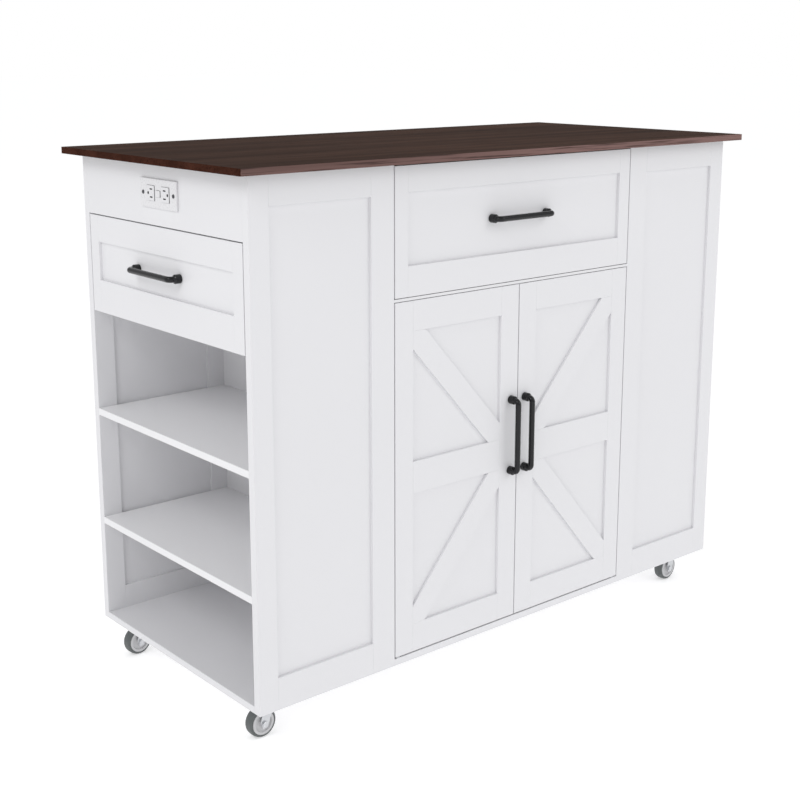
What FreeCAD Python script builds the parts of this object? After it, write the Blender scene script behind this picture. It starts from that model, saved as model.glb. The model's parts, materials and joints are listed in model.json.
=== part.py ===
"""Kitchen island cart: a white framed cabinet on four swivel casters under a thin
dark worktop. The long front has a wide drawer over two cross-braced doors, each end
has a drawer over three open bays, and the left end carries a power outlet.

Millimetres, +Z up, +X along the long front, +Y towards the back. The origin is on the
floor under the middle of the cart.
"""
import FreeCAD, Part
import Sketcher
import os
import re

SIZES = {
    # overall
    "overall_height": 916,
    "top_length": 1160,
    "top_depth": 549,
    "top_thickness": 11,
    "top_corner": 3,
    "body_length": 1106,
    "body_depth": 500,
    # boards and framed panels
    "panel_thickness": 15,
    "board": 12,
    "infill": 5,
    "column_width": 272.5,
    "column_outer_stile": 36,
    "column_inner_stile": 46,
    "column_top_rail": 48,
    "column_bottom_rail": 54,
    # gaps around what moves
    "front_gap": 2,
    "board_gap": 3,
    "top_gap": 4,
    "door_strip": 7,
    "strip_gap": 1.2,
    "bracket_play": 0.5,
    "door_floor_gap": 2.5,
    "deck_lift": 3.5,
    "box_lift": 6,
    "box_back_gap": 20,
    "end_box_back_gap": 15.5,
    "end_slide_short": 2,
    # front drawer and the strip under it
    "front_drawer_low": 691,
    "drawer_stile": 27,
    "front_top_rail": 42,
    "front_bottom_rail": 50,
    "front_box_height": 140,
    # end drawers
    "end_drawer_low": 636.5,
    "end_drawer_height": 167,
    "end_top_rail": 45,
    "end_bottom_rail": 56,
    "end_box_height": 120,
    # drawer boxes and slides
    "box_wall": 12,
    "box_floor": 6,
    "box_floor_lift": 8,
    "slide_width": 12.5,
    "slide_half_height": 22.5,
    "slide_wall": 1.2,
    "slide_play": 0.5,
    "slide_lift": 50,
    # doors
    "door_outer_stile": 38,
    "door_inner_stile": 41,
    "door_rail": 50,
    "mid_rail_low": 359,
    "mid_rail": 55,
    "brace_width": 40,
    "pivot_from_edge": 8,
    "pivot_from_face": 5,
    "pivot_radius": 2.5,
    "pivot_play": 0.05,
    "pivot_depth": 10,
    "washer_radius": 5,
    "washer_gap": 0.4,
    "bracket_metal": 2,
    "bracket_width": 16,
    "bracket_lift": 2.5,
    # pulls
    "pull_centres": 128,
    "end_pull_offset": 16,
    "pull_bar_radius": 5,
    "pull_foot_radius": 7.5,
    "pull_foot_length": 14,
    "pull_standoff": 19.5,
    "pull_rise": 2,
    "door_pull_height": 418,
    "door_pull_inset": 16,
    # shelves and inner boards
    "upper_shelf_top": 460,
    "lower_shelf_top": 258.5,
    "cabinet_shelf_low": 372,
    "cabinet_shelf_setback": 40,
    "shelf_pin_radius": 2.5,
    "shelf_pin_length": 8,
    "shelf_pin_inset": 40,
    "stretcher_depth": 80,
    # outlet
    "outlet_height": 857,
    "outlet_offset": 5,
    "plate_length": 110,
    "plate_height": 46,
    "plate_thickness": 3.5,
    "outlet_box_length": 78,
    "outlet_box_height": 40,
    "outlet_box_depth": 45,
    "outlet_box_wall": 2,
    "socket_length": 23,
    "socket_height": 24,
    "socket_from_centre": 22.3,
    "ground_offset": 7,
    "socket_proud": 1,
    "socket_body_depth": 26,
    "blade_length": 8,
    "blade_width": 2,
    "blade_spacing": 12.7,
    "ground_radius": 2.4,
    "hole_depth": 12,
    "button_length": 13,
    "button_height": 10,
    "outlet_screw_spacing": 92,
    "outlet_screw_radius": 3.3,
    "outlet_screw_head": 1.2,
    # casters
    "caster_inset_x": 47,
    "caster_inset_y": 52,
    "wheel_radius": 25,
    "wheel_width": 18,
    "hub_radius": 20,
    "hub_width": 20,
    "tread_round": 2.5,
    "axle_radius": 3,
    "axle_play": 0.05,
    "axle_head_radius": 5,
    "axle_head": 2.5,
    "trail": 12,
    "cheek": 2,
    "cheek_gap": 1,
    "cheek_foot": 8,
    "swivel_radius": 16,
    "swivel_thickness": 6.5,
    "kingpin_radius": 4,
    "kingpin_play": 0.05,
    "kingpin_head_radius": 7,
    "kingpin_head": 2.5,
    "swivel_gap": 0.5,
    "wheel_gap": 1,
    "crown_gap": 1,
    "plate_side": 42,
    "plate_metal": 2.5,
    "plate_screw_spacing": 32,
    "plate_screw_radius": 3,
    "plate_screw_head": 1.6,
}

# Lengths that follow from the sizes above.
DERIVED = {
    "half_length": "body_length / 2",
    "half_depth": "body_depth / 2",
    "kingpin_low": "2 * wheel_radius + wheel_gap",
    "swivel_low": "kingpin_low + kingpin_head + swivel_gap",
    "swivel_top": "swivel_low + swivel_thickness",
    "plate_low": "swivel_top + crown_gap",
    "body_bottom": "plate_low + plate_metal",
    "body_top": "overall_height - top_thickness",
    "body_height": "body_top - body_bottom",
    "centre_half": "half_length - column_width",
    "inner_depth_half": "half_depth - panel_thickness",
    "floor_top": "body_bottom + board",
    "recess": "(panel_thickness - infill) / 2",
    "bay_depth": "column_width - board",
    "door_low": "floor_top + door_floor_gap",
    "door_top": "front_drawer_low - door_strip",
    "door_height": "door_top - door_low",
    "door_near": "front_gap / 2",
    "door_far": "centre_half - front_gap",
    "door_width": "door_far - door_near",
    "deck_low": "door_top + 1",
    "deck_front": "panel_thickness + board_gap",
    "front_drawer_height": "body_top - top_gap - front_drawer_low",
    "front_box_low": "deck_low + board + box_lift",
    "front_box_length": "body_depth - 2 * panel_thickness - box_back_gap",
    "end_panel_low": "end_drawer_low + end_drawer_height + front_gap",
    "end_deck_low": "end_drawer_low + deck_lift",
    "end_box_low": "end_deck_low + board + box_lift",
    "end_box_length": "bay_depth - panel_thickness - end_box_back_gap",
    "end_slide_length": "end_box_length - end_slide_short",
    "cabinet_shelf_depth": "2 * inner_depth_half - cabinet_shelf_setback",
    "pivot_x": "door_far - pivot_from_edge",
    "bracket_low": "door_top + bracket_lift",
    "bracket_front": "pivot_from_face - pivot_radius",
    "slide_step": "slide_wall + slide_play",
    "cheek_inner": "hub_width / 2 + cheek_gap",
}

STATIONS = {"front": 0, "left": -90, "right": 90, "back": 180}

doc = FreeCAD.newDocument("island_cart")
sheet = doc.addObject("Spreadsheet::Sheet", "Sizes")
for row, (alias, value) in enumerate(SIZES.items(), start=1):
    sheet.set(f"A{row}", alias)
    sheet.set(f"B{row}", str(value))
    sheet.setAlias(f"B{row}", alias)
doc.recompute()

nodes = {}


def full(text):
    """Spell out derived lengths and point every size at its cell in the sheet."""
    def word(match):
        name = match.group(0)
        if name in DERIVED:
            return f"({full(DERIVED[name])})"
        return f"Sizes.{name}" if name in SIZES else name
    return re.sub(r"[a-z][a-z_]*", word, str(text))


def bind(obj, **properties):
    for name, text in properties.items():
        obj.setExpression(name, full(text))


def place(obj, x=0, y=0, z=0, axis=None, angle=0):
    turn = FreeCAD.Rotation(FreeCAD.Vector(*axis), angle) if axis else FreeCAD.Rotation()
    obj.Placement = FreeCAD.Placement(FreeCAD.Vector(), turn)
    for name, text in (("x", x), ("y", y), ("z", z)):
        obj.setExpression(f"Placement.Base.{name}", full(text))
    return obj


def box(low, size):
    piece = doc.addObject("Part::Box", "Board")
    bind(piece, Length=size[0], Width=size[1], Height=size[2])
    return place(piece, *low)


def rod(start, radius, length, along="z"):
    piece = doc.addObject("Part::Cylinder", "Rod")
    bind(piece, Radius=radius, Height=length)
    turns = {"z": (None, 0), "y": ((1, 0, 0), -90), "x": ((0, 1, 0), 90)}
    return place(piece, *start, *turns[along])


def ball(centre, radius):
    piece = doc.addObject("Part::Sphere", "Ball")
    bind(piece, Radius=radius)
    return place(piece, *centre)


def prism(points, low, thickness, plane="XZ"):
    """A polygon padded from y = low (XZ plane) or z = low (XY plane)."""
    body = doc.addObject("PartDesign::Body", "Prism")
    sketch = body.newObject("Sketcher::SketchObject", "Outline")
    origin_plane = [f for f in body.Origin.OriginFeatures if f.Role == f"{plane}_Plane"][0]
    sketch.AttachmentSupport = [(origin_plane, "")]
    sketch.MapMode = "FlatFace"
    count = len(points)
    # Rough corners first; the dimensions then pull each one to its place.
    rough = [(number(x), number(y)) for x, y in points]
    for (x0, y0), (x1, y1) in zip(rough, rough[1:] + rough[:1]):
        start = FreeCAD.Vector(x0, y0, 0)
        sketch.addGeometry(Part.LineSegment(start, FreeCAD.Vector(x1, y1, 0)), False)
    Constraint = Sketcher.Constraint
    for i in range(count):
        sketch.addConstraint(Constraint("Coincident", i, 2, (i + 1) % count, 1))
    for i, (x, y) in enumerate(points):
        for kind, text, value in (("DistanceX", x, rough[i][0]), ("DistanceY", y, rough[i][1])):
            index = sketch.addConstraint(Constraint(kind, -1, 1, i, 1, value))
            sketch.setExpression(f"Constraints[{index}]", full(text))
    pad = body.newObject("PartDesign::Pad", "Pad")
    pad.Profile = sketch
    pad.Reversed = plane == "XZ"
    bind(pad, Length=thickness)
    return place(body, y=low) if plane == "XZ" else place(body, z=low)


def number(text):
    """The present value of an expression, for a sketch's first guess."""
    sheet.set("D1", "=" + full(text).replace("Sizes.", ""))
    sheet.recompute()
    value = sheet.get("D1")
    return float(getattr(value, "Value", value))


def cut(base, tools):
    piece = doc.addObject("Part::Cut", "Cut")
    piece.Base = base
    piece.Tool = tools[0] if len(tools) == 1 else group(tools)
    return piece


def fuse(parts):
    piece = doc.addObject("Part::MultiFuse", "Fused")
    piece.Shapes = parts
    piece.Refine = True
    return piece


def group(parts):
    piece = doc.addObject("Part::Compound", "Group")
    piece.Links = parts
    return piece


def node(label, piece):
    piece.Label = label
    nodes[label] = piece
    return piece


def at_station(label, parts, station):
    """Parts built facing the front, in a node turned to face one side of the cart.

    In a station's own frame X runs to the right along the side, Y runs into the cart
    from the side's outer face, and Z is the height above the floor.
    """
    home = {
        "front": ("0", "-(half_depth)"),
        "left": ("-(half_length)", "0"),
        "right": ("half_length", "0"),
        "back": ("0", "half_depth"),
    }[station]
    piece = group(parts)
    place(piece, *home, 0, (0, 0, 1), STATIONS[station])
    return node(label, piece)


def side_low(side, near, width):
    """Low X of a piece that starts at near and runs outwards on the given side."""
    return near if side > 0 else f"-({near}) - ({width})"


def framed(x, z, width, height, stile_left, stile_right, rail_top, rail_bottom):
    """Two stiles, two rails and a thin infill board held midway in their thickness."""
    inner = f"({width}) - ({stile_left}) - ({stile_right})"
    tall = f"({height}) - ({rail_top}) - ({rail_bottom})"
    inner_x = f"({x}) + ({stile_left})"
    inner_z = f"({z}) + ({rail_bottom})"
    thick = "panel_thickness"
    return [
        box((x, 0, z), (stile_left, thick, height)),
        box((f"{inner_x} + {inner}", 0, z), (stile_right, thick, height)),
        box((inner_x, 0, z), (inner, thick, rail_bottom)),
        box((inner_x, 0, f"{inner_z} + {tall}"), (inner, thick, rail_top)),
        box((inner_x, "recess", inner_z), (inner, "infill", tall)),
    ]


def pull(x, seat, z, along):
    """A round bar on two stout round feet, standing off the face at Y = seat."""
    half = "pull_centres / 2"
    bar_y = f"{seat} - pull_standoff"
    pieces = []
    for sign in ("-", "+"):
        offset = f"{sign} {half}"
        px, pz = (f"{x} {offset}", z) if along == "x" else (x, f"{z} {offset}")
        foot_end = f"{seat} - pull_foot_length"
        pieces.append(rod((px, foot_end, pz), "pull_foot_radius", "pull_foot_length", "y"))
        pieces.append(rod((px, bar_y, pz), "pull_bar_radius", "pull_standoff", "y"))
        pieces.append(ball((px, bar_y, pz), "pull_bar_radius"))
    start = [x, bar_y, z]
    start[0 if along == "x" else 2] += f" - {half}"
    pieces.append(rod(start, "pull_bar_radius", "pull_centres", along))
    return [fuse(pieces)]


def channel(side, far, near, half_height, open_near, z, length):
    """One member of a ball-bearing slide: a thin C section lying along Y."""
    width = f"({far}) - ({near})"
    outer = box((side_low(side, near, width), "deck_front", f"{z} - ({half_height})"),
                (width, length, f"2 * ({half_height})"))
    shift = "-(slide_wall)" if open_near else "slide_wall"
    hollow = box((side_low(side, f"{near} + {shift}", width), "deck_front - 1",
                  f"{z} - ({half_height}) + slide_wall"),
                 (width, f"{length} + 2", f"2 * ({half_height} - slide_wall)"))
    return cut(outer, [hollow])


def slide_members(half, z, length):
    """Outer, middle and inner members for both sides of one drawer."""
    members = []
    for step, trim, open_near in ((0, 2, True), (1, 1, True), (2, 0, False)):
        far = f"({half} - {step} * slide_step)"
        near = f"({half} - slide_width + {trim} * slide_step)"
        height = f"slide_half_height - {step} * slide_step"
        pair = [channel(side, far, near, height, open_near, z, length) for side in (-1, 1)]
        members.append(pair)
    return members


def drawer_box(half, z, height, length):
    """Four walls and a thin floor, all behind the drawer's front board."""
    front = "panel_thickness"
    side = f"{half} - slide_width"
    inner = f"({side} - box_wall)"
    return [
        box((f"-({side})", front, z), ("box_wall", length, height)),
        box((inner, front, z), ("box_wall", length, height)),
        box((f"-{inner}", front, z), (f"2 * {inner}", "box_wall", height)),
        box((f"-{inner}", f"{front} + {length} - box_wall", z), (f"2 * {inner}", "box_wall", height)),
        box((f"-{inner}", f"{front} + box_wall", f"{z} + box_floor_lift"),
            (f"2 * {inner}", f"{length} - 2 * box_wall", "box_floor")),
    ]


def drawer(name, station, half, low, height, rails, box_sizes, slide_length, pull_x="0"):
    box_low, box_height, box_length = box_sizes
    top_rail, bottom_rail = rails
    pull_height = f"{low} + ({height} - {top_rail} + {bottom_rail}) / 2 + pull_rise"
    edge = f"({half} - front_gap)"
    face = framed(f"-{edge}", low, f"2 * {edge}", height, "drawer_stile", "drawer_stile", *rails)
    at_station(f"{name}_drawer_front", face, station)
    at_station(f"{name}_drawer_box", drawer_box(half, box_low, box_height, box_length), station)
    at_station(f"{name}_drawer_pull", pull(pull_x, "recess", pull_height, "x"), station)
    outers, mids, inners = slide_members(half, f"{box_low} + slide_lift", slide_length)
    at_station(f"{name}_slide_outers", outers, station)
    at_station(f"{name}_slide_mids", mids, station)
    at_station(f"{name}_slide_inners", inners, station)


def door(name, side):
    """A framed door with a middle rail and one brace in each half."""
    def span(near, width):
        return side_low(side, near, width)

    inner_x = "(door_near + door_inner_stile)"
    inner_w = "(door_width - door_inner_stile - door_outer_stile)"
    top_rail = "(door_top - door_rail)"
    bottom_rail_top = "(door_low + door_rail)"
    mid_top = "(mid_rail_low + mid_rail)"
    thick = "panel_thickness"
    bore = rod((f"{side} * pivot_x", "pivot_from_face", "door_low - 1"),
               "pivot_radius + pivot_play", "pivot_depth + 2")
    top_bore = rod((f"{side} * pivot_x", "pivot_from_face", "door_top - pivot_depth - 1"),
                   "pivot_radius + pivot_play", "pivot_depth + 2")
    outer = box((span("door_far - door_outer_stile", "door_outer_stile"), 0, "door_low"),
                ("door_outer_stile", thick, "door_height"))
    parts = [
        cut(outer, [bore, top_bore]),
        box((span("door_near", "door_inner_stile"), 0, "door_low"),
            ("door_inner_stile", thick, "door_height")),
    ]
    for low, tall in (("door_low", "door_rail"), ("mid_rail_low", "mid_rail"), (top_rail, "door_rail")):
        parts.append(box((span(inner_x, inner_w), 0, low), (inner_w, thick, tall)))
    for low, high, rising in ((bottom_rail_top, "mid_rail_low", False), (mid_top, top_rail, True)):
        tall = f"({high} - {low})"
        parts.append(box((span(inner_x, inner_w), "recess", low), (inner_w, "infill", tall)))
        # A brace lies corner to corner, so its edges meet the frame this far from the corner.
        slant = f"sqrt({inner_w}^2 + {tall}^2)"
        along_x = f"brace_width / 2 * {slant} / {tall}"
        along_z = f"brace_width / 2 * {slant} / {inner_w}"
        corners = [
            ("0", "0"), (along_x, "0"), (inner_w, f"{tall} - {along_z}"),
            (inner_w, tall), (f"{inner_w} - {along_x}", tall), ("0", along_z),
        ]
        points = []
        for across, up in corners:
            height = f"{low} + {up}" if rising else f"{high} - ({up})"
            points.append((f"{side} * ({inner_x} + {across})", height))
        parts.append(prism(points, "0", "recess"))
    at_station(f"{name}_door", parts, "front")
    grip = pull(f"{side} * (door_near + door_pull_inset)", "0", "door_pull_height", "z")
    at_station(f"{name}_door_pull", grip, "front")


def make_worktop():
    half_x, half_y = "top_length / 2", "top_depth / 2"
    corners = [(f"-{half_x}", f"-{half_y}"), (half_x, f"-{half_y}"),
               (half_x, half_y), (f"-{half_x}", half_y)]
    body = prism(corners, "body_top", "top_thickness", "XY")
    doc.recompute()
    pad = body.Tip
    upright = []
    for index, edge in enumerate(pad.Shape.Edges, start=1):
        low, high = edge.BoundBox.ZMin, edge.BoundBox.ZMax
        if high - low > SIZES["top_thickness"] / 2:
            upright.append(f"Edge{index}")
    rounding = body.newObject("PartDesign::Fillet", "Corners")
    rounding.Base = (pad, upright)
    bind(rounding, Radius="top_corner")
    body.Tip = rounding
    node("countertop", body)


def make_columns():
    """The fixed framed panels: two on the front, and three across the back."""
    rails = ("column_top_rail", "column_bottom_rail")
    stiles = ("column_outer_stile", "column_inner_stile")
    for station, names in (("front", ("front_left", "front_right")),
                           ("back", ("back_right", "back_left"))):
        for name, low, pair in zip(names, ("-(half_length)", "centre_half"), (stiles, stiles[::-1])):
            parts = framed(low, "body_bottom", "column_width", "body_height", *pair, *rails)
            at_station(f"{name}_panel", parts, station)
    middle = framed("-(centre_half)", "body_bottom", "2 * centre_half", "body_height",
                    "column_inner_stile", "column_inner_stile", *rails)
    at_station("back_center_panel", middle, "back")


def make_boards():
    depth = "2 * inner_depth_half"
    back_y = "-(inner_depth_half)"
    floor = box(("-(half_length)", back_y, "body_bottom"), ("body_length", depth, "board"))
    lip = box(("-(centre_half)", "-(half_depth)", "body_bottom"),
              ("2 * centre_half", "panel_thickness", "board"))
    node("bottom_board", fuse([floor, lip]))
    for side, name in ((-1, "left"), (1, "right")):
        low = side_low(side, "centre_half", "board")
        node(f"{name}_divider", box((low, back_y, "floor_top"), ("board", depth, "body_top - floor_top")))
        bay = side_low(side, "centre_half + board", "bay_depth")
        shelves = [box((bay, back_y, f"{top} - board"), ("bay_depth", depth, "board"))
                   for top in ("upper_shelf_top", "lower_shelf_top")]
        node(f"{name}_shelves", group(shelves))
    deck_y = "-(half_depth) + deck_front"
    deck = box(("-(centre_half)", deck_y, "deck_low"),
               ("2 * centre_half", "inner_depth_half + half_depth - deck_front", "board"))
    # Its lip shows as a thin strip between the drawer and the doors, and is notched
    # behind for the doors' top brackets.
    lip = box(("-(centre_half)", "-(half_depth)", "door_top + strip_gap"),
              ("2 * centre_half", "deck_front", "door_strip - 2 * strip_gap"))
    notches = [box((f"{side} * pivot_x - bracket_width / 2 - bracket_play",
                    "-(half_depth) + bracket_front - bracket_play", "door_top"),
                   ("bracket_width + 2 * bracket_play",
                    "deck_front - bracket_front + bracket_play", "door_strip"))
               for side in (-1, 1)]
    node("center_deck", fuse([deck, cut(lip, notches)]))
    decks = []
    for side in (-1, 1):
        width = "bay_depth - deck_front"
        decks.append(box((side_low(side, "centre_half + board", width), back_y, "end_deck_low"),
                         (width, depth, "board")))
    node("end_decks", group(decks))
    node("cabinet_shelf", box(("-(centre_half)", "inner_depth_half - cabinet_shelf_depth", "cabinet_shelf_low"),
                              ("2 * centre_half", "cabinet_shelf_depth", "board")))
    pins = []
    for side in (-1, 1):
        start = side_low(side, "centre_half - shelf_pin_length", "shelf_pin_length")
        for y in ("inner_depth_half - shelf_pin_inset",
                  "inner_depth_half - cabinet_shelf_depth + shelf_pin_inset"):
            pins.append(rod((start, y, "cabinet_shelf_low - shelf_pin_radius"),
                            "shelf_pin_radius", "shelf_pin_length", "x"))
    node("shelf_pins", group(pins))
    rails = []
    for y in (deck_y, "inner_depth_half - stretcher_depth"):
        rails.append(box(("-(centre_half)", y, "body_top - board"),
                         ("2 * centre_half", "stretcher_depth", "board")))
    node("top_stretchers", group(rails))


def make_end_panels():
    width, height = "2 * inner_depth_half", "body_top - end_panel_low"

    def board():
        return box(("-(inner_depth_half)", 0, "end_panel_low"), (width, "panel_thickness", height))

    opening = box(("outlet_offset - outlet_box_length / 2", -1, "outlet_height - outlet_box_height / 2"),
                  ("outlet_box_length", "panel_thickness + 2", "outlet_box_height"))
    at_station("left_end_panel", [cut(board(), [opening])], "left")
    at_station("right_end_panel", [board()], "right")


def make_outlet():
    x, z = "outlet_offset", "outlet_height"
    proud = "-(plate_thickness)"

    def centred(px, width, y, depth, height):
        return box((f"{px} - {width} / 2", y, f"{z} - {height} / 2"), (width, depth, height))

    sockets = [f"{x} {sign} socket_from_centre" for sign in ("-", "+")]
    plate = centred(x, "plate_length", proud, "plate_thickness", "plate_height")
    windows = [centred(px, "socket_length", f"{proud} - 1", "plate_thickness + 2", "socket_height")
               for px in sockets]
    windows.append(centred(x, "button_length", f"{proud} - 1", "plate_thickness + 2", "button_height"))
    at_station("outlet_plate", [cut(plate, windows)], "left")

    length = "2 * socket_from_centre + socket_length"
    depth = "plate_thickness + socket_proud"
    solid = [centred(x, f"({length})", 0, "socket_body_depth", "socket_height")]
    solid += [centred(px, "socket_length", f"-({depth})", depth, "socket_height") for px in sockets]
    solid.append(centred(x, "button_length", f"-({depth})", depth, "button_height"))
    holes = []
    for px, sign in zip(sockets, ("-", "+")):
        for up in ("-", "+"):
            holes.append(box((f"{px} - blade_length / 2 - ({sign} 2)", f"-({depth}) - 1",
                              f"{z} {up} blade_spacing / 2 - blade_width / 2"),
                             ("blade_length", "hole_depth + 1", "blade_width")))
        holes.append(rod((f"{px} {sign} ground_offset", f"-({depth}) - 1", z),
                         "ground_radius", "hole_depth + 1", "y"))
    at_station("outlet_sockets", [cut(fuse(solid), holes)], "left")

    shell = centred(x, "outlet_box_length", 0, "outlet_box_depth", "outlet_box_height")
    hollow = centred(x, "(outlet_box_length - 2 * outlet_box_wall)", -1,
                     "outlet_box_depth - outlet_box_wall + 1",
                     "(outlet_box_height - 2 * outlet_box_wall)")
    at_station("outlet_box", [cut(shell, [hollow])], "left")
    screws = [rod((f"{x} {sign} outlet_screw_spacing / 2", f"{proud} - outlet_screw_head", z),
                  "outlet_screw_radius", "outlet_screw_head", "y") for sign in ("-", "+")]
    at_station("outlet_screws", screws, "left")


def make_drawers():
    front_box = ("front_box_low", "front_box_height", "front_box_length")
    end_box = ("end_box_low", "end_box_height", "end_box_length")
    drawer("front", "front", "centre_half", "front_drawer_low", "front_drawer_height",
           ("front_top_rail", "front_bottom_rail"), front_box,
           "front_box_length")
    for side, pull_x in (("left", "-end_pull_offset"), ("right", "end_pull_offset")):
        drawer(side, side, "inner_depth_half", "end_drawer_low", "end_drawer_height",
               ("end_top_rail", "end_bottom_rail"), end_box, "end_slide_length", pull_x)
    # The end drawers' outer members share one node.
    both = [nodes.pop("left_slide_outers"), nodes.pop("right_slide_outers")]
    node("end_slide_outers", group(both))


def make_doors():
    door("left", -1)
    door("right", 1)
    brackets, pins = [], []
    for side in (-1, 1):
        x, y = f"{side} * pivot_x", "pivot_from_face"
        tab = box((f"{x} - bracket_width / 2", "bracket_front", "bracket_low"),
                  ("bracket_width", "deck_front - bracket_front", "bracket_metal"))
        leaf = box((f"{x} - bracket_width / 2", "deck_front - bracket_metal / 2", "bracket_low"),
                   ("bracket_width", "bracket_metal / 2", "deck_low + board - bracket_low"))
        pin = rod((x, y, "door_top - pivot_depth"), "pivot_radius", "pivot_depth + bracket_lift + bracket_metal")
        brackets.append(fuse([tab, leaf, pin]))
        washer = rod((x, y, "floor_top"), "washer_radius", "door_low - floor_top - washer_gap")
        post = rod((x, y, "floor_top"), "pivot_radius", "door_low - floor_top + pivot_depth")
        pins.append(fuse([washer, post]))
    at_station("door_top_pivots", brackets, "front")
    at_station("door_bottom_pivots", pins, "front")


# Corner name, X side, Y side, and how far the fork is turned from trailing towards -X.
CASTERS = (("front_left", -1, -1, 0), ("back_left", -1, 1, 4),
           ("front_right", 1, -1, 2), ("back_right", 1, 1, 12))


def make_casters():
    plates, screws = [], []
    for name, side_x, side_y, turn in CASTERS:
        x = f"{side_x} * (half_length - caster_inset_x)"
        y = f"{side_y} * (half_depth - caster_inset_y)"

        def corner(label, piece):
            place(piece, x, y, 0, (0, 0, 1), turn)
            return node(f"{label}_{name}", piece)

        half = "plate_side / 2"
        plate = box((f"{x} - {half}", f"{y} - {half}", "plate_low"), ("plate_side", "plate_side", "plate_metal"))
        kingpin = rod((x, y, "kingpin_low"), "kingpin_radius", "plate_low - kingpin_low")
        head = rod((x, y, "kingpin_low"), "kingpin_head_radius", "kingpin_head")
        plates.append(fuse([plate, kingpin, head]))
        for sign_x in ("-", "+"):
            for sign_y in ("-", "+"):
                screws.append(rod((f"{x} {sign_x} plate_screw_spacing / 2",
                                   f"{y} {sign_y} plate_screw_spacing / 2",
                                   "plate_low - plate_screw_head"),
                                  "plate_screw_radius", "plate_screw_head"))

        hub_x = "-(trail)"
        crown = rod((0, 0, "swivel_low"), "swivel_radius", "swivel_thickness")
        shoulder = "sqrt(swivel_radius^2 - (cheek_inner + cheek)^2)"
        outline = [(f"-({shoulder})", "swivel_top - 1"), (f"{hub_x} - cheek_foot", "wheel_radius + 4"),
                   (f"{hub_x} - cheek_foot / 2", "wheel_radius - cheek_foot"),
                   (f"{hub_x} + cheek_foot / 2", "wheel_radius - cheek_foot"),
                   (f"{hub_x} + cheek_foot", "wheel_radius"), (shoulder, "swivel_top - 1")]
        cheeks = [prism(outline, "cheek_inner", "cheek"),
                  prism(outline, "-(cheek_inner) - cheek", "cheek")]
        axle_half = "(cheek_inner + cheek)"
        axle = rod((hub_x, f"-{axle_half}", "wheel_radius"), "axle_radius", f"2 * {axle_half}", "y")
        ends = [rod((hub_x, low, "wheel_radius"), "axle_head_radius", "axle_head", "y")
                for low in (axle_half, f"-{axle_half} - axle_head")]
        bore = rod((0, 0, "swivel_low - 1"), "kingpin_radius + kingpin_play", "swivel_thickness + 2")
        corner("caster_fork", cut(fuse([crown, axle] + cheeks + ends), [bore]))

        hub = rod((hub_x, "-(hub_width) / 2", "wheel_radius"), "hub_radius", "hub_width", "y")
        hub_bore = rod((hub_x, "-(hub_width) / 2 - 1", "wheel_radius"),
                       "axle_radius + axle_play", "hub_width + 2", "y")
        corner("caster_hub", cut(hub, [hub_bore]))
        low = "-(wheel_width) / 2"
        middle = rod((hub_x, f"{low} + tread_round", "wheel_radius"), "wheel_radius",
                     "wheel_width - 2 * tread_round", "y")
        shoulders = rod((hub_x, low, "wheel_radius"), "wheel_radius - tread_round", "wheel_width", "y")
        inside = rod((hub_x, f"{low} - 1", "wheel_radius"), "hub_radius", "wheel_width + 2", "y")
        corner("caster_tyre", cut(fuse([middle, shoulders]), [inside]))
    node("caster_plates", group(plates))
    node("caster_screws", group(screws))


make_worktop()
make_columns()
make_boards()
make_end_panels()
make_outlet()
make_drawers()
make_doors()
make_casters()
sheet.clear("D1")
doc.recompute()

broken = [obj.Name for obj in doc.Objects if {"Invalid", "Error"} & set(obj.State)]
broken += [label for label, piece in nodes.items() if piece.Shape.isNull() or not piece.Shape.isValid()]
if broken:
    raise RuntimeError(f"failed objects: {broken}")

os.makedirs("parts", exist_ok=True)
for label, piece in nodes.items():
    piece.Shape.exportStep(f"parts/{label}.step")
print(len(nodes), "nodes written")
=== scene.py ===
import json
import math
import bmesh
import bpy
from mathutils import Matrix, Vector


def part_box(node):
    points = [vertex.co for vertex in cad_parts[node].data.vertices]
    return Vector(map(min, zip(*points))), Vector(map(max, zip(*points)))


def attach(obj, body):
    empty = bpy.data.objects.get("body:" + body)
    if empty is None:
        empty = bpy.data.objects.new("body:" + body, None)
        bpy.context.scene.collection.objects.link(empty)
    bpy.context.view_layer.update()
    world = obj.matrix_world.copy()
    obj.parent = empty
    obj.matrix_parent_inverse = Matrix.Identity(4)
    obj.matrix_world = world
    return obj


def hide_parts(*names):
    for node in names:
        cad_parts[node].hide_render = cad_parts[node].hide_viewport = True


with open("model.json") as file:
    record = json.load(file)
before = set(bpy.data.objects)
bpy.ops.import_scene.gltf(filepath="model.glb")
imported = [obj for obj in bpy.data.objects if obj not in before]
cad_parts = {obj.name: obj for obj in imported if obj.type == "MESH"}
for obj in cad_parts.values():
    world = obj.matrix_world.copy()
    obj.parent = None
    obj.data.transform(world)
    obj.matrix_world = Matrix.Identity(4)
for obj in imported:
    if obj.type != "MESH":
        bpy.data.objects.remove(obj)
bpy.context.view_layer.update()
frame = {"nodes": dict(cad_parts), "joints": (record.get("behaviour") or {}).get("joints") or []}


# ---------------------------------------------------------------- bottom board
# One white painted board closes the cabinet underneath and carries the casters.
# It runs the full length, and a lip fills the gap under the two doors.
MM = 0.001
EASE = 0.35 * MM
SHARP_ANGLE = math.radians(30)
SMOOTH_LIMIT = math.radians(50)


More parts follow.
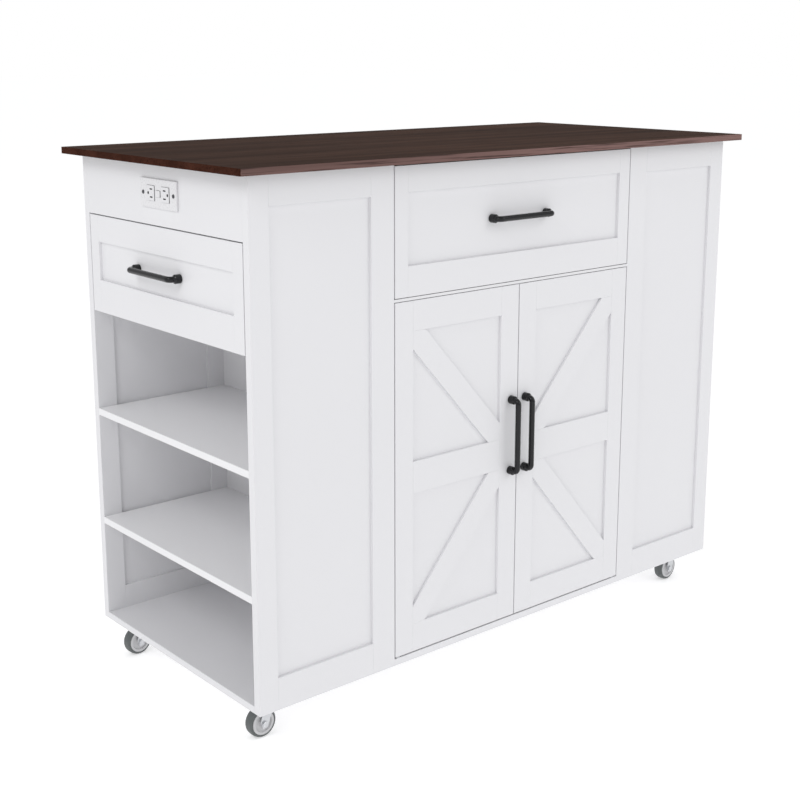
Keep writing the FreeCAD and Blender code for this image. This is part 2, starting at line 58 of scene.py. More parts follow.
class Wire:
    """A socket of a finish. Arithmetic on it adds Math nodes."""

    def __init__(self, finish, socket):
        self.finish, self.socket = finish, socket

    def _math(self, operation, first, second):
        return self.finish.node("ShaderNodeMath", {"operation": operation}, {0: first, 1: second})

    def __add__(self, other):
        return self._math("ADD", self, other)

    def __radd__(self, other):
        return self._math("ADD", other, self)

    def __sub__(self, other):
        return self._math("SUBTRACT", self, other)

    def __rsub__(self, other):
        return self._math("SUBTRACT", other, self)

    def __mul__(self, other):
        return self._math("MULTIPLY", self, other)

    def __rmul__(self, other):
        return self._math("MULTIPLY", other, self)


class Finish:
    """A material built from nodes, with a Principled shader at its end."""

    def __init__(self, name):
        self.material = bpy.data.materials.new(name)
        self.material.use_nodes = True
        self.tree = self.material.node_tree
        self.shader = self.tree.nodes["Principled BSDF"]
        self.place = self.node("ShaderNodeNewGeometry", out="Position")

    def feed(self, sockets, values):
        for key, value in values.items():
            matches = [s for s in sockets if s.identifier == key] if isinstance(key, str) else []
            socket = matches[0] if matches else sockets[key]
            if isinstance(value, Wire):
                self.tree.links.new(value.socket, socket)
            else:
                socket.default_value = value

    def node(self, kind, settings=None, values=None, out=0):
        made = self.tree.nodes.new(kind)
        for name, value in (settings or {}).items():
            setattr(made, name, value)
        self.feed(made.inputs, values or {})
        matches = [s for s in made.outputs if s.identifier == out]
        return Wire(self, matches[0] if matches else made.outputs[out])

    def noise(self, scale, detail=3, stretch=(1, 1, 1)):
        """Noise around 0.5 over the row frame, scale in waves per metre."""
        at = self.node("ShaderNodeVectorMath", {"operation": "MULTIPLY"},
                       {0: self.place, 1: tuple(scale * s for s in stretch)})
        return self.node("ShaderNodeTexNoise", {}, {"Vector": at, "Scale": 1, "Detail": detail})

    def mix(self, factor, low, high):
        """A colour between low and high."""
        return self.node("ShaderNodeMix", {"data_type": "RGBA"},
                         {"Factor_Float": factor, "A_Color": low, "B_Color": high}, "Result_Color")

    def bump(self, height, depth, strength=1):
        normal = self.node("ShaderNodeBump", {},
                           {"Height": height, "Distance": depth, "Strength": strength})
        self.feed(self.shader.inputs, {"Normal": normal})

    def surface(self, **values):
        self.feed(self.shader.inputs, {key.replace("_", " "): v for key, v in values.items()})
        return self.material


def colour(red, green, blue):
    return (red, green, blue, 1)


def paint(name, tone, rough):
    """Sprayed paint on board: nearly even, with a faint orange peel."""
    finish = Finish(name)
    broad, fine = finish.noise(3), finish.noise(900, 2)
    deep = colour(*(0.965 * c for c in tone))
    finish.bump(fine, 0.03 * MM, 0.35)
    return finish.surface(Base_Color=finish.mix(broad, deep, colour(*tone)),
                          Roughness=rough - 0.06 + 0.12 * finish.noise(25))


def shown(name, mesh, material, body, nodes):
    """Puts a mesh in the scene as one piece on a body, in place of its plain nodes."""
    mesh.shade_smooth()
    mesh.set_sharp_from_angle(angle=SMOOTH_LIMIT)
    if not mesh.materials:
        mesh.materials.append(material)
    piece = bpy.data.objects.new(name, mesh)
    bpy.context.scene.collection.objects.link(piece)
    modifier = piece.modifiers.new("Even shading", "WEIGHTED_NORMAL")
    modifier.keep_sharp = True
    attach(piece, body)
    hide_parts(*nodes)
    return piece


class Joinery:
    """Boards and other solids with eased edges, gathered into one mesh."""

    def __init__(self, turn=0, reach=0):
        self.mesh = bmesh.new()
        self.place = Matrix.Rotation(math.radians(turn), 4, "Z") @ Matrix.Translation((0, -reach, 0))

    def add(self, solid, ease, segments=2):
        sharp = [e for e in solid.edges
                 if len(e.link_faces) == 2 and e.calc_face_angle() > SHARP_ANGLE]
        bmesh.ops.bevel(solid, geom=sharp, offset=ease, segments=segments, profile=0.5,
                        affect="EDGES", clamp_overlap=True)
        step = bpy.data.meshes.new("step")
        solid.to_mesh(step)
        self.mesh.from_mesh(step)
        bpy.data.meshes.remove(step)
        solid.free()

    def board(self, low, high, ease=EASE):
        low, high = Vector(low), Vector(high)
        solid = bmesh.new()
        bmesh.ops.create_cube(solid, size=1, matrix=Matrix.Translation((low + high) / 2)
                              @ Matrix.Diagonal((*(high - low), 1)))
        self.add(solid, ease)

    def plate(self, outline, front, back, ease=EASE):
        """A flat piece whose outline is given across its face, in X and Z."""
        solid = bmesh.new()
        near = [solid.verts.new((x, front, z)) for x, z in outline]
        far = [solid.verts.new((x, back, z)) for x, z in outline]
        solid.faces.new(near)
        solid.faces.new(far[::-1])
        for i in range(len(outline)):
            j = (i + 1) % len(outline)
            solid.faces.new((near[j], near[i], far[i], far[j]))
        bmesh.ops.recalc_face_normals(solid, faces=solid.faces)
        self.add(solid, ease)

    def made(self, name):
        self.mesh.transform(self.place)
        mesh = bpy.data.meshes.new(name)
        self.mesh.to_mesh(mesh)
        self.mesh.free()
        return mesh


white_paint = paint("white_paint", (0.785, 0.782, 0.8), 0.46)
BOARD = 12 * MM
low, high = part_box("bottom_board")
inner_back = high.y
cabinet_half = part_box("cabinet_shelf")[1].x
base = Joinery()
base.board((low.x, -inner_back, low.z), high)
base.board((-cabinet_half, low.y, low.z), (cabinet_half, -inner_back, high.z))
shown("bottom_board_eased", base.made("bottom_board_eased"), white_paint, "carcass",
      ["bottom_board"])


# --------------------------------------------------------------------- casters
# Four swivel casters: a pressed zinc plate and fork, a grey rubber tyre on a pale
# nylon hub with a raised ring, and a riveted axle. Each fork trails its own way.
def zinc(name, tone, rough):
    """Bright plated steel with a slightly cloudy passivated film."""
    finish = Finish(name)
    cloud = finish.noise(60, 4)
    tint = finish.mix(cloud, colour(*(0.82 * c for c in tone)), colour(*tone))
    finish.bump(finish.noise(1500, 2), 0.02 * MM, 0.4)
    finish.shader.inputs["Metallic"].default_value = 1
    return finish.surface(Base_Color=tint, Roughness=rough + 0.14 * cloud)


def moulded(name, low_tone, high_tone, rough, grain):
    """Moulded plastic or rubber with a fine surface grain."""
    finish = Finish(name)
    finish.bump(finish.noise(grain, 2), 0.04 * MM, 0.5)
    return finish.surface(Base_Color=finish.mix(finish.noise(140, 4), colour(*low_tone), colour(*high_tone)),
                          Roughness=rough - 0.05 + 0.1 * finish.noise(300))


def lathed(name, profile, centre, axis, steps=64):
    """Turns a closed outline of (radius, offset along the axis) round the axis."""
    solid = bmesh.new()
    turn = Vector((0, 0, 1)).rotation_difference(Vector(axis)).to_matrix().to_4x4()
    rings = []
    for i in range(steps):
        angle = 2 * math.pi * i / steps
        rings.append([solid.verts.new((r * math.cos(angle), r * math.sin(angle), a)) for r, a in profile])
    for i in range(steps):
        near, far = rings[i], rings[(i + 1) % steps]
        for j in range(len(profile)):
            k = (j + 1) % len(profile)
            solid.faces.new((near[j], far[j], far[k], near[k]))
    bmesh.ops.recalc_face_normals(solid, faces=solid.faces)
    solid.transform(Matrix.Translation(centre) @ turn)
    mesh = bpy.data.meshes.new(name)
    solid.to_mesh(mesh)
    solid.free()
    return mesh


def eased_copy(name, node, ease, material, body):
    """The node's own shape with its sharp edges rounded."""
    solid = bmesh.new()
    solid.from_mesh(frame["nodes"][node].data)
    bmesh.ops.remove_doubles(solid, verts=solid.verts, dist=0.01 * MM)
    bmesh.ops.dissolve_limit(solid, angle_limit=math.radians(1), verts=solid.verts, edges=solid.edges)
    work = Joinery()
    work.add(solid, ease)
    return shown(name, work.made(name), material, body, [node])


def mirrored(half_outline):
    """An outline given for the positive side of the axis, closed on the other side."""
    return half_outline + [(r, -a) for r, a in reversed(half_outline)]


fork_zinc = zinc("fork_zinc", (0.66, 0.67, 0.69), 0.24)
screw_zinc = zinc("screw_zinc", (0.6, 0.6, 0.62), 0.3)
tyre_rubber = moulded("tyre_rubber", (0.085, 0.095, 0.095), (0.12, 0.13, 0.13), 0.5, 700)
hub_nylon = moulded("hub_nylon", (0.52, 0.52, 0.53), (0.6, 0.6, 0.61), 0.36, 900)
WHEEL, RIM, BORE = 25 * MM, 20 * MM, 3.1 * MM
CORNERS = ("front_left", "back_left", "front_right", "back_right")
joints = {j["name"]: j for j in frame["joints"]}
tread = mirrored([(RIM, 8.7 * MM), (RIM + 1 * MM, 9 * MM), (WHEEL - 2.6 * MM, 8.8 * MM),
                  (WHEEL - 1.3 * MM, 8 * MM), (WHEEL - 0.5 * MM, 6.4 * MM), (WHEEL, 3.6 * MM)])
web = mirrored([(BORE, 9.6 * MM), (BORE + 0.4 * MM, 10 * MM), (6.4 * MM, 10 * MM), (6.8 * MM, 9.7 * MM),
                (7.2 * MM, 7.6 * MM), (14.6 * MM, 7 * MM), (15.4 * MM, 8.8 * MM), (16 * MM, 9.6 * MM),
                (RIM - 0.6 * MM, 9.6 * MM), (RIM, 9 * MM)])
for corner in CORNERS:
    axle = joints[f"roll_{corner}"]
    swivel, wheel = f"swivel_{corner}", f"wheel_{corner}"
    eased_copy(f"fork_{corner}", f"caster_fork_{corner}", 0.5 * MM, fork_zinc, swivel)
    shown(f"hub_{corner}", lathed(f"hub_{corner}", web, axle["pos_m"], axle["axis"]), hub_nylon,
          wheel, [f"caster_hub_{corner}"])
    shown(f"tyre_{corner}", lathed(f"tyre_{corner}", tread, axle["pos_m"], axle["axis"]), tyre_rubber,
          wheel, [f"caster_tyre_{corner}"])

# Plates lie flat under the bottom board, each held by four pan-head screws.
PLATE_HALF, PLATE, SCREW_AT = 21 * MM, 2.5 * MM, 16 * MM
KINGPIN, PIN_SINK = 4 * MM, 1 * MM
HEAD_FOOT, HEAD_TOP, HEAD_TALL, HEAD_GAP = 6 * MM, 7 * MM, 2.5 * MM, 0.5 * MM
plates = Joinery()
plate_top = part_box("bottom_board")[0].z
for corner in CORNERS:
    x, y, z = joints[f"swivel_{corner}"]["pos_m"]
    plates.board((x - PLATE_HALF, y - PLATE_HALF, plate_top - PLATE),
                 (x + PLATE_HALF, y + PLATE_HALF, plate_top), 0.8 * MM)
    kingpin = bmesh.new()
    bmesh.ops.create_cone(kingpin, cap_ends=True, segments=32, radius1=KINGPIN, radius2=KINGPIN,
                          depth=plate_top - PLATE - z + PIN_SINK,
                          matrix=Matrix.Translation((x, y, (plate_top - PLATE + z - PIN_SINK) / 2)))
    plates.add(kingpin, 0.2 * MM)
    head = bmesh.new()
    bmesh.ops.create_cone(head, cap_ends=True, segments=32, radius1=HEAD_FOOT, radius2=HEAD_TOP,
                          depth=HEAD_TALL,
                          matrix=Matrix.Translation((x, y, z - HEAD_GAP - HEAD_TALL / 2)))
    plates.add(head, 0.6 * MM)
shown("caster_plates_eased", plates.made("caster_plates_eased"), fork_zinc, "carcass",
      ["caster_plates"])


def pan_heads(name, spots, axis, radius, height, material, node):
    """Domed screw heads with a cross recess, seated with their backs at the spots."""
    work = Joinery()
    turn = Vector((0, 0, 1)).rotation_difference(Vector(axis)).to_matrix().to_4x4()
    for spot in spots:
        dome = bmesh.new()
        rings = [(0.18, 0.62), (0.2, 0.99), (0.55, 1), (0.82, 0.86), (0.97, 0.5), (1, 0)]
        steps = 24
        loops = [[dome.verts.new((radius * r * math.cos(2 * math.pi * i / steps),
                                  radius * r * math.sin(2 * math.pi * i / steps), height * h))
                  for i in range(steps)] for r, h in rings]
        for near, far in zip(loops, loops[1:]):
            for i in range(steps):
                j = (i + 1) % steps
                dome.faces.new((near[i], far[i], far[j], near[j]))
        dome.faces.new(loops[0])
        dome.faces.new(loops[-1][::-1])
        bmesh.ops.recalc_face_normals(dome, faces=dome.faces)
        dome.transform(Matrix.Translation(spot) @ turn)
        work.add(dome, 0)
        for across in (0, 90):
            bar = bmesh.new()
            bmesh.ops.create_cube(bar, size=1, matrix=Matrix.Diagonal(
                (radius * 0.9, radius * 0.16, height * 0.05, 1)))
            bar.transform(Matrix.Translation(spot) @ turn @ Matrix.Translation((0, 0, height * 0.985))
                          @ Matrix.Rotation(math.radians(across), 4, "Z"))
            work.add(bar, 0.01 * MM)
    return shown(name, work.made(name), material, "carcass", [node])


spots = [(x + sx * SCREW_AT, y + sy * SCREW_AT, plate_top - PLATE)
         for x, y, z in (joints[f"swivel_{c}"]["pos_m"] for c in CORNERS)
         for sx in (-1, 1) for sy in (-1, 1)]
pan_heads("caster_screw_heads", spots, (0, 0, -1), 3 * MM, 1.6 * MM, screw_zinc, "caster_screws")


# ---------------------------------------------------------- fixed framed panels
# Two framed panels stand beside the doors and three close the back. Each is two
# stiles, two rails and a thin infill board held midway in their thickness.
PANEL, INFILL = 15 * MM, 5 * MM
OUTER_STILE, INNER_STILE, TOP_RAIL, BOTTOM_RAIL = 36 * MM, 46 * MM, 48 * MM, 54 * MM
RECESS = (PANEL - INFILL) / 2
TUCK, INFILL_EASE = 0.3 * MM, 0.1 * MM
front_face = -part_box("front_left_panel")[0].y
end_face = -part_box("front_left_panel")[0].x


def framed(work, x, z, width, height, left, right, top, bottom):
    """A frame with its infill board, facing the front of its station."""
    x2, z2 = x + width, z + height
    work.board((x, 0, z), (x + left, PANEL, z2))
    work.board((x2 - right, 0, z), (x2, PANEL, z2))
    work.board((x + left, 0, z), (x2 - right, PANEL, z + bottom))
    work.board((x + left, 0, z2 - top), (x2 - right, PANEL, z2))
    work.board((x + left - TUCK, RECESS, z + bottom - TUCK),
               (x2 - right + TUCK, RECESS + INFILL, z2 - top + TUCK), INFILL_EASE)


for name, turn, stiles in (("front_left", 0, (OUTER_STILE, INNER_STILE)),
                           ("front_right", 0, (INNER_STILE, OUTER_STILE)),
                           ("back_left", 180, (INNER_STILE, OUTER_STILE)),
                           ("back_center", 180, (INNER_STILE, INNER_STILE)),
                           ("back_right", 180, (OUTER_STILE, INNER_STILE))):
    low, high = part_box(f"{name}_panel")
    left_edge = low.x if turn == 0 else -high.x
    work = Joinery(turn, front_face)
    framed(work, left_edge, low.z, high.x - low.x, high.z - low.z, *stiles, TOP_RAIL, BOTTOM_RAIL)
    shown(f"{name}_frame", work.made(f"{name}_frame"), white_paint, "carcass",
          [f"{name}_panel"])


# ------------------------------------------------- dividers, shelves and decks
# Two dividers split the body into the cabinet and the end bays. Each end has two
# fixed shelves, decks carry the drawers, and one loose shelf sits on steel pins.
# The boards in the bays take a lighter copy of the white paint: painted light, making up for the shade
# inside the bays.
bay_white = paint("bay_white", (0.86, 0.857, 0.87), 0.5)


def plain_boards(name, node, pieces):
    work = Joinery()
    for low, high in pieces:
        work.board(low, high)
    return shown(name, work.made(name), bay_white, "carcass", [node])


def both_sides(low, high):
    """A board and its mirror image across the middle of the cart."""
    return [(low, high), ((-high[0], low[1], low[2]), (-low[0], high[1], high[2]))]


for node in ("left_divider", "right_divider", "cabinet_shelf"):
    plain_boards(f"{node}_board", node, [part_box(node)])
eased_copy("center_deck_board", "center_deck", EASE, white_paint, "carcass")
for node in ("left_shelves", "right_shelves"):
    low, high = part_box(node)
    plain_boards(f"{node}_boards", node, [(low, (high.x, high.y, low.z + BOARD)),
                                          ((low.x, low.y, high.z - BOARD), high)])
bay_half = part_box("right_divider")[1].x
low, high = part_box("end_decks")
plain_boards("end_deck_boards", "end_decks", both_sides((bay_half, low.y, low.z), tuple(high)))
low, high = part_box("top_stretchers")
STRETCHER = 80 * MM
plain_boards("top_stretcher_boards", "top_stretchers", [(low, (high.x, low.y + STRETCHER, high.z)),
                                                        ((low.x, high.y - STRETCHER, low.z), high)])


# -------------------------------------------------------------------- worktop
# A thin board in a dark red-brown wood print with fine streaks along its length.
# Its front and back edges take a lighter copy of the same wood, painted light from the front, and its ends a
# darker copy, painted shade.
def wood(name, dark, light, rough, sheen):
    """Streaky grain along X: broad figure, fine pores and slow colour drift."""
    finish = Finish(name)
    figure = finish.noise(26, 5, (0.05, 1, 1))
    drift = finish.noise(4, 2, (0.25, 1, 1))
    pores = finish.noise(420, 3, (0.022, 1, 1))
    streak = finish.node("ShaderNodeMapRange", {"interpolation_type": "SMOOTHSTEP"},
                         {"Value": 0.62 * figure + 0.23 * drift + 0.15 * pores,
                          "From Min": 0.33, "From Max": 0.67})
    body = finish.mix(streak, colour(*dark), colour(*light))
    pit = finish.node("ShaderNodeMapRange", {}, {"Value": pores, "From Min": 0.34, "From Max": 0.46})
    finish.bump(pit, 0.05 * MM, 0.35)
    finish.shader.inputs["Specular IOR Level"].default_value = sheen
    return finish.surface(Base_Color=finish.mix(pit, colour(*(0.55 * c for c in dark)), body),
                          Roughness=rough + 0.12 * pores)


wood_top = wood("wood_top", (0.032, 0.0145, 0.0085), (0.07, 0.035, 0.023), 0.55, 0.01)
# Lit and shaded copies of the wood: the front and back edges are painted lighter and the ends darker, as
# painted light and painted shade.
wood_edge = wood("wood_edge", (0.12, 0.07, 0.062), (0.23, 0.138, 0.125), 0.5, 0.08)
wood_end = wood("wood_end", (0.036, 0.012, 0.007), (0.066, 0.024, 0.015), 0.5, 0.01)
low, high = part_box("countertop")
CORNER, ARC, TOP_EASE = 3 * MM, 6, 0.8 * MM
outline = []
for cx, cy, start in ((high.x, high.y, 0), (low.x, high.y, 90), (low.x, low.y, 180), (high.x, low.y, 270)):
    for step in range(ARC + 1):
        angle = math.radians(start + 90 * step / ARC)
        outline.append((cx - math.copysign(CORNER, cx) + CORNER * math.cos(angle),
                        cy - math.copysign(CORNER, cy) + CORNER * math.sin(angle)))
solid = bmesh.new()
below = [solid.verts.new((x, y, low.z)) for x, y in outline]
above = [solid.verts.new((x, y, high.z)) for x, y in outline]
solid.faces.new(below[::-1])
solid.faces.new(above)
for i in range(len(outline)):
    j = (i + 1) % len(outline)
    solid.faces.new((below[i], below[j], above[j], above[i]))
work = Joinery()
work.add(solid, TOP_EASE, 3)
mesh = work.made("worktop_board")
mesh.materials.append(wood_top)
mesh.materials.append(wood_edge)
mesh.materials.append(wood_end)
# Faces take a colour by the way they face: top and bottom the wood's own, front and back the painted light,
# the ends the painted shade.
for face in mesh.polygons:
    face.material_index = 0 if abs(face.normal.z) > 0.8 else 1 if abs(face.normal.y) > 0.7 else 2
shown("worktop_board", mesh, wood_top, "carcass", ["countertop"])


# ------------------------------------------------------- end panels and outlet
# A plain board closes each end above its drawer. The left one carries a white twin
# outlet in a shallow box: two sockets, a button between them and two plate screws.
outlet_white = moulded("outlet_white", (0.72, 0.715, 0.73), (0.76, 0.755, 0.77), 0.28, 1200)
box_plastic = moulded("outlet_box_plastic", (0.05, 0.06, 0.085), (0.065, 0.075, 0.1), 0.5, 800)
eased_copy("left_end_board", "left_end_panel", 0.4 * MM, white_paint, "carcass")
eased_copy("right_end_board", "right_end_panel", 0.4 * MM, white_paint, "carcass")
eased_copy("outlet_cover", "outlet_plate", 0.6 * MM, outlet_white, "carcass")
faces = eased_copy("outlet_faces", "outlet_sockets", 0.25 * MM, outlet_white, "carcass")
# Faces set more than WELL behind the outlet face are painted near black: painted shade inside the socket
# holes.
faces.data.materials.append(moulded("contact_well", (0.02, 0.02, 0.022), (0.035, 0.035, 0.04), 0.6, 900))
WELL = 1.2 * MM
outer_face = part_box("outlet_sockets")[0].x
for face in faces.data.polygons:
    if face.center.x > outer_face + WELL:
        face.material_index = 1
eased_copy("outlet_back_box", "outlet_box", 0.4 * MM, box_plastic, "carcass")
dark_zinc = zinc("dark_zinc", (0.1, 0.1, 0.11), 0.35)
low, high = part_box("outlet_screws")
screw_radius, middle_z = (high.z - low.z) / 2, (high.z + low.z) / 2
screw_spots = [(high.x, y, middle_z) for y in (low.y + screw_radius, high.y - screw_radius)]
pan_heads("outlet_screw_heads", screw_spots, (-1, 0, 0), screw_radius, high.x - low.x,
          dark_zinc, "outlet_screws")


# --------------------------------------------- slides, pivots and shelf pins
# Thin rolled steel, all inside the body and in sight only when something is open.
# These keep their own shapes and take a plated finish.
slide_zinc = zinc("slide_zinc", (0.55, 0.56, 0.58), 0.32)
for node, body in (("front_slide_outers", "carcass"), ("end_slide_outers", "carcass"),
                   ("front_slide_mids", "front_slide_middle"), ("left_slide_mids", "left_slide_middle"),
                   ("right_slide_mids", "right_slide_middle"), ("front_slide_inners", "front_drawer"),
                   ("left_slide_inners", "left_drawer"), ("right_slide_inners", "right_drawer"),
                   ("door_top_pivots", "carcass"), ("door_bottom_pivots", "carcass"),
                   ("shelf_pins", "carcass")):
    kept = frame["nodes"][node]
    kept.data.materials.clear()
    kept.data.materials.append(slide_zinc)


# -------------------------------------------------------------------- drawers
# Each drawer is a framed front on a box of thin foiled board. The front one is wide
# and set flush over the doors, and each end has one over its open bays.
box_foil = paint("box_foil", (0.74, 0.73, 0.71), 0.4)
DRAWER_STILE, WALL, DRAWER_FLOOR, FLOOR_LIFT = 27 * MM, 12 * MM, 6 * MM, 8 * MM
for name, turn, reach, rails in (("front", 0, front_face, (42 * MM, 50 * MM)),
                                 ("left", -90, end_face, (45 * MM, 56 * MM)),
                                 ("right", 90, end_face, (45 * MM, 56 * MM))):
    low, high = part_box(f"{name}_drawer_front")
    half = high.x if turn == 0 else high.y
    work = Joinery(turn, reach)
    framed(work, -half, low.z, 2 * half, high.z - low.z, DRAWER_STILE, DRAWER_STILE, *rails)
    shown(f"{name}_drawer_frame", work.made(f"{name}_drawer_frame"), white_paint, f"{name}_drawer",
          [f"{name}_drawer_front"])
    low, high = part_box(f"{name}_drawer_box")
    half, length = (high.x, high.y - low.y) if turn == 0 else (high.y, high.x - low.x)
    inner = half - WALL
    work = Joinery(turn, reach)
    for side in (-half, inner):
        work.board((side, PANEL, low.z), (side + WALL, PANEL + length, high.z), 0.6 * MM)
    for near in (PANEL, PANEL + length - WALL):
        work.board((-inner, near, low.z), (inner, near + WALL, high.z), 0.6 * MM)
    work.board((-inner, PANEL + WALL, low.z + FLOOR_LIFT),
               (inner, PANEL + length - WALL, low.z + FLOOR_LIFT + DRAWER_FLOOR), 0.2 * MM)
    shown(f"{name}_drawer_boards", work.made(f"{name}_drawer_boards"), box_foil, f"{name}_drawer",
          [f"{name}_drawer_box"])


# ---------------------------------------------------------------------- doors
# Two framed doors with a middle rail. A flat brace lies corner to corner in each
# half, so that the pair reads as a farmhouse cross.
DOOR_INNER, DOOR_OUTER, DOOR_RAIL, BRACE = 41 * MM, 38 * MM, 50 * MM, 40 * MM
MID_LOW, MID_RAIL = 359 * MM, 55 * MM


def door_board(work, side, start, width, bottom, top, front=0, back=PANEL, ease=EASE):
    """A board of the door on that side, given by its distance from the cart's middle."""
    edges = sorted((side * start, side * (start + width)))
    work.board((edges[0], front, bottom), (edges[1], back, top), ease)


for name, side in (("left", -1), ("right", 1)):
    low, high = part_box(f"{name}_door")
    near, far = min(abs(low.x), abs(high.x)), max(abs(low.x), abs(high.x))
    work = Joinery(0, front_face)
    inner, wide = near + DOOR_INNER, far - near - DOOR_INNER - DOOR_OUTER
    rail_top, rail_low = low.z + DOOR_RAIL, high.z - DOOR_RAIL
    mid_top = MID_LOW + MID_RAIL
    door_board(work, side, near, DOOR_INNER, low.z, high.z)
    door_board(work, side, far - DOOR_OUTER, DOOR_OUTER, low.z, high.z)
    for bottom, top in ((low.z, rail_top), (MID_LOW, mid_top), (rail_low, high.z)):
        door_board(work, side, inner, wide, bottom, top)
    for bottom, top, rising in ((rail_top, MID_LOW, False), (mid_top, rail_low, True)):
        door_board(work, side, inner, wide, bottom, top, RECESS, RECESS + INFILL, INFILL_EASE)
        tall = top - bottom
        slant = math.hypot(wide, tall)
        dx, dz = BRACE / 2 * slant / tall, BRACE / 2 * slant / wide
        corners = [(0, 0), (dx, 0), (wide, tall - dz), (wide, tall), (wide - dx, tall), (0, dz)]
        brace = [(side * (inner + u), bottom + v if rising else top - v) for u, v in corners]
        work.plate(brace, 0, RECESS)
    shown(f"{name}_door_frame", work.made(f"{name}_door_frame"), white_paint, f"door_{name}",
          [f"{name}_door"])


# ---------------------------------------------------------------------- pulls
# Black coated steel bars, bent at both ends into two stouter round feet. Three lie
# across the drawers and two stand at the meeting edges of the doors.
def black_coat(name):
    """Satin black powder coat with a trace of texture."""
    finish = Finish(name)
    speck = finish.noise(700, 3)
    finish.bump(speck, 0.01 * MM, 0.2)
    finish.shader.inputs["Specular IOR Level"].default_value = 0.36
    tone = finish.mix(speck, colour(0.003, 0.003, 0.004), colour(0.008, 0.008, 0.01))
    return finish.surface(Base_Color=tone, Roughness=0.1 + 0.08 * finish.noise(120))


def swept(name, path, radii, side, steps=28):
    """A round bar of changing radius along a path that stays in one plane."""
    solid = bmesh.new()
    rings = []
    for i, point in enumerate(path):
        ahead = (path[min(i + 1, len(path) - 1)] - path[max(i - 1, 0)]).normalized()
        up = side.cross(ahead)
        rings.append([solid.verts.new(point + radii[i] * (side * math.cos(2 * math.pi * k / steps)
                                                          + up * math.sin(2 * math.pi * k / steps)))
                      for k in range(steps)])
    for near, far in zip(rings, rings[1:]):
        for k in range(steps):
            m = (k + 1) % steps
            solid.faces.new((near[k], near[m], far[m], far[k]))
    solid.faces.new(rings[0][::-1])
    solid.faces.new(rings[-1])
    bmesh.ops.recalc_face_normals(solid, faces=solid.faces)
    mesh = bpy.data.meshes.new(name)
    solid.to_mesh(mesh)
    solid.free()
    return mesh


black = black_coat("black_coat")
PULL_SPAN, STANDOFF, ELBOW = 128 * MM, 19.5 * MM, 7 * MM
BAR, FOOT, FOOT_LONG = 5 * MM, 7.5 * MM, 11 * MM
ELBOW_STEPS = 10
for name, body, turn, reach, upright in (("front_drawer", "front_drawer", 0, front_face, False),
                                         ("left_drawer", "left_drawer", -90, end_face, False),
                                         ("right_drawer", "right_drawer", 90, end_face, False),
                                         ("left_door", "door_left", 0, front_face, True),
                                         ("right_door", "door_right", 0, front_face, True)):
    low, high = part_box(f"{name}_pull")
    middle = (low + high) / 2
    out = Matrix.Rotation(math.radians(turn), 3, "Z") @ Vector((0, -1, 0))
    along = Vector((0, 0, 1)) if upright else Vector((0, 0, 1)).cross(out)
    seat = reach - (0 if upright else RECESS)
    foot = Vector((middle.x * abs(out.y), middle.y * abs(out.x), middle.z)) + out * seat
    outline = [(0, 0, FOOT - 0.5 * MM), (0, 0.5 * MM, FOOT), (0, FOOT_LONG - 1.5 * MM, FOOT),
               (0, FOOT_LONG - 0.5 * MM, FOOT - 0.4 * MM), (0, FOOT_LONG + 0.6 * MM, BAR + 0.2 * MM)]
    outline += [(ELBOW * (1 - math.cos(a)), STANDOFF - ELBOW * (1 - math.sin(a)), BAR)
                for a in (math.radians(90 // ELBOW_STEPS * k) for k in range(ELBOW_STEPS + 1))]
    half = PULL_SPAN / 2
    points = [(-half + u, v, r) for u, v, r in outline] + [(half - u, v, r) for u, v, r in outline[::-1]]
    path = [foot + along * u + out * v for u, v, r in points]
    shown(f"{name}_bar", swept(f"{name}_bar", path, [p[2] for p in points], along.cross(out).normalized()),
          black, body, [f"{name}_pull"])


# ------------------------------------------------------ floor, light and camera
# A white sweep, a soft sky and one large soft key from the front right. The floor
# is bright enough to read as white, and keeps a soft contact shadow.
def wash(name, energy, size, at, aim):
    lamp = bpy.data.lights.new(name, "AREA")
    lamp.energy, lamp.size = energy, size
    lamp_object = bpy.data.objects.new(name, lamp)
    lamp_object.location = at
    lamp_object.rotation_euler = (Vector(aim) - Vector(at)).to_track_quat("-Z", "Y").to_euler()
    bpy.context.scene.collection.objects.link(lamp_object)
    return lamp_object


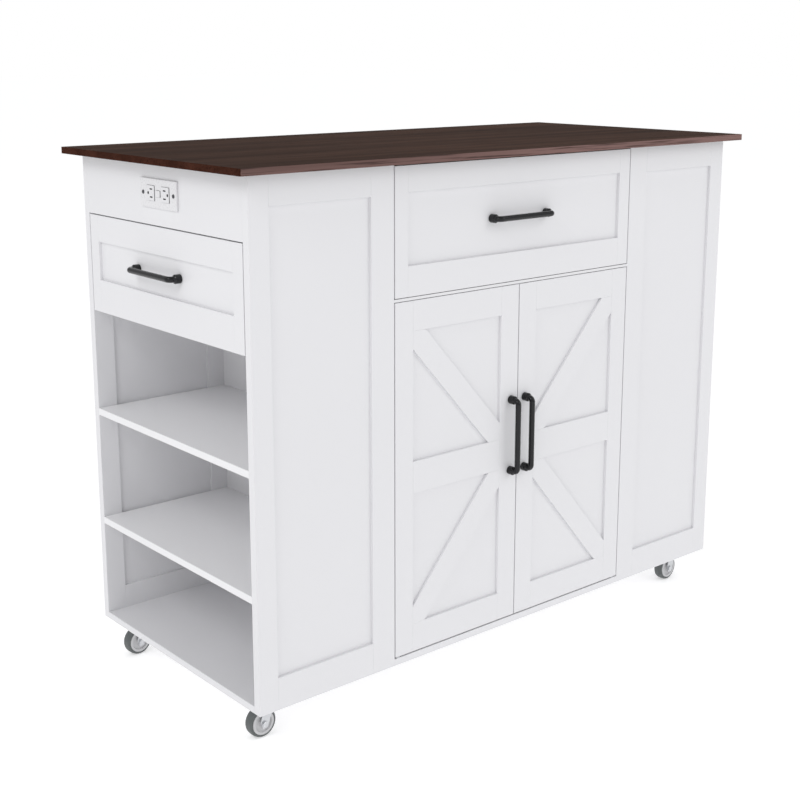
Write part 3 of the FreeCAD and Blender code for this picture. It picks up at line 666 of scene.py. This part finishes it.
FLOOR_REACH, FLOOR_GLOW, SKY_STRENGTH = 40, 0.44, 0.7
floor_finish = Finish("studio_floor")
floor_finish.shader.inputs["Emission Strength"].default_value = FLOOR_GLOW
floor_finish.shader.inputs["Specular IOR Level"].default_value = 0
floor_tone = floor_finish.mix(floor_finish.noise(2), colour(0.8, 0.8, 0.8), colour(0.82, 0.82, 0.82))
floor_finish.surface(Base_Color=floor_tone, Roughness=0.9, Emission_Color=colour(1, 1, 1))
floor_mesh = bpy.data.meshes.new("studio_floor")
floor_mesh.from_pydata([(x, y, 0) for x, y in ((-FLOOR_REACH, -FLOOR_REACH), (FLOOR_REACH, -FLOOR_REACH),
                                              (FLOOR_REACH, FLOOR_REACH), (-FLOOR_REACH, FLOOR_REACH))],
                       [], [(0, 1, 2, 3)])
floor_mesh.materials.append(floor_finish.material)
floor = bpy.data.objects.new("studio_floor", floor_mesh)
bpy.context.scene.collection.objects.link(floor)

world = bpy.data.worlds.new("studio_sky")
bpy.context.scene.world = world
world.use_nodes = True
tree = world.node_tree
sky = tree.nodes["Background"]
sky.inputs["Color"].default_value = (0.985, 0.99, 1, 1)
sky.inputs["Strength"].default_value = SKY_STRENGTH
seen = tree.nodes.new("ShaderNodeBackground")
seen.inputs["Color"].default_value = (1, 1, 1, 1)
seen.inputs["Strength"].default_value = 1
rays = tree.nodes.new("ShaderNodeLightPath")
swap = tree.nodes.new("ShaderNodeMixShader")
tree.links.new(rays.outputs["Is Camera Ray"], swap.inputs[0])
tree.links.new(sky.outputs[0], swap.inputs[1])
tree.links.new(seen.outputs[0], swap.inputs[2])
tree.links.new(swap.outputs[0], tree.nodes["World Output"].inputs["Surface"])

wash("key", energy=26, size=2.0, at=(1.9, -3.4, 3.0), aim=(0, -0.2, 0.45))
wash("left_fill", energy=24, size=1.2, at=(-2.9, -0.7, 2.9), aim=(-0.45, 0, 0.5))

LENS, SENSOR, SHIFT = 60.435, 36, (-0.0045, -0.084)
STATION, LEVEL, DIP, HEADING = (-1.6206, -1.8542, 1.0839), 90, 12.07, -40.282
camera_data = bpy.data.cameras.new("camera")
camera_data.lens, camera_data.sensor_width = LENS, SENSOR
camera_data.shift_x, camera_data.shift_y = SHIFT
camera = bpy.data.objects.new("camera", camera_data)
camera.location = STATION
camera.rotation_euler = (math.radians(LEVEL - DIP), 0, math.radians(HEADING))
bpy.context.scene.collection.objects.link(camera)
bpy.context.scene.camera = camera
bpy.context.scene.view_settings.view_transform = "Standard"
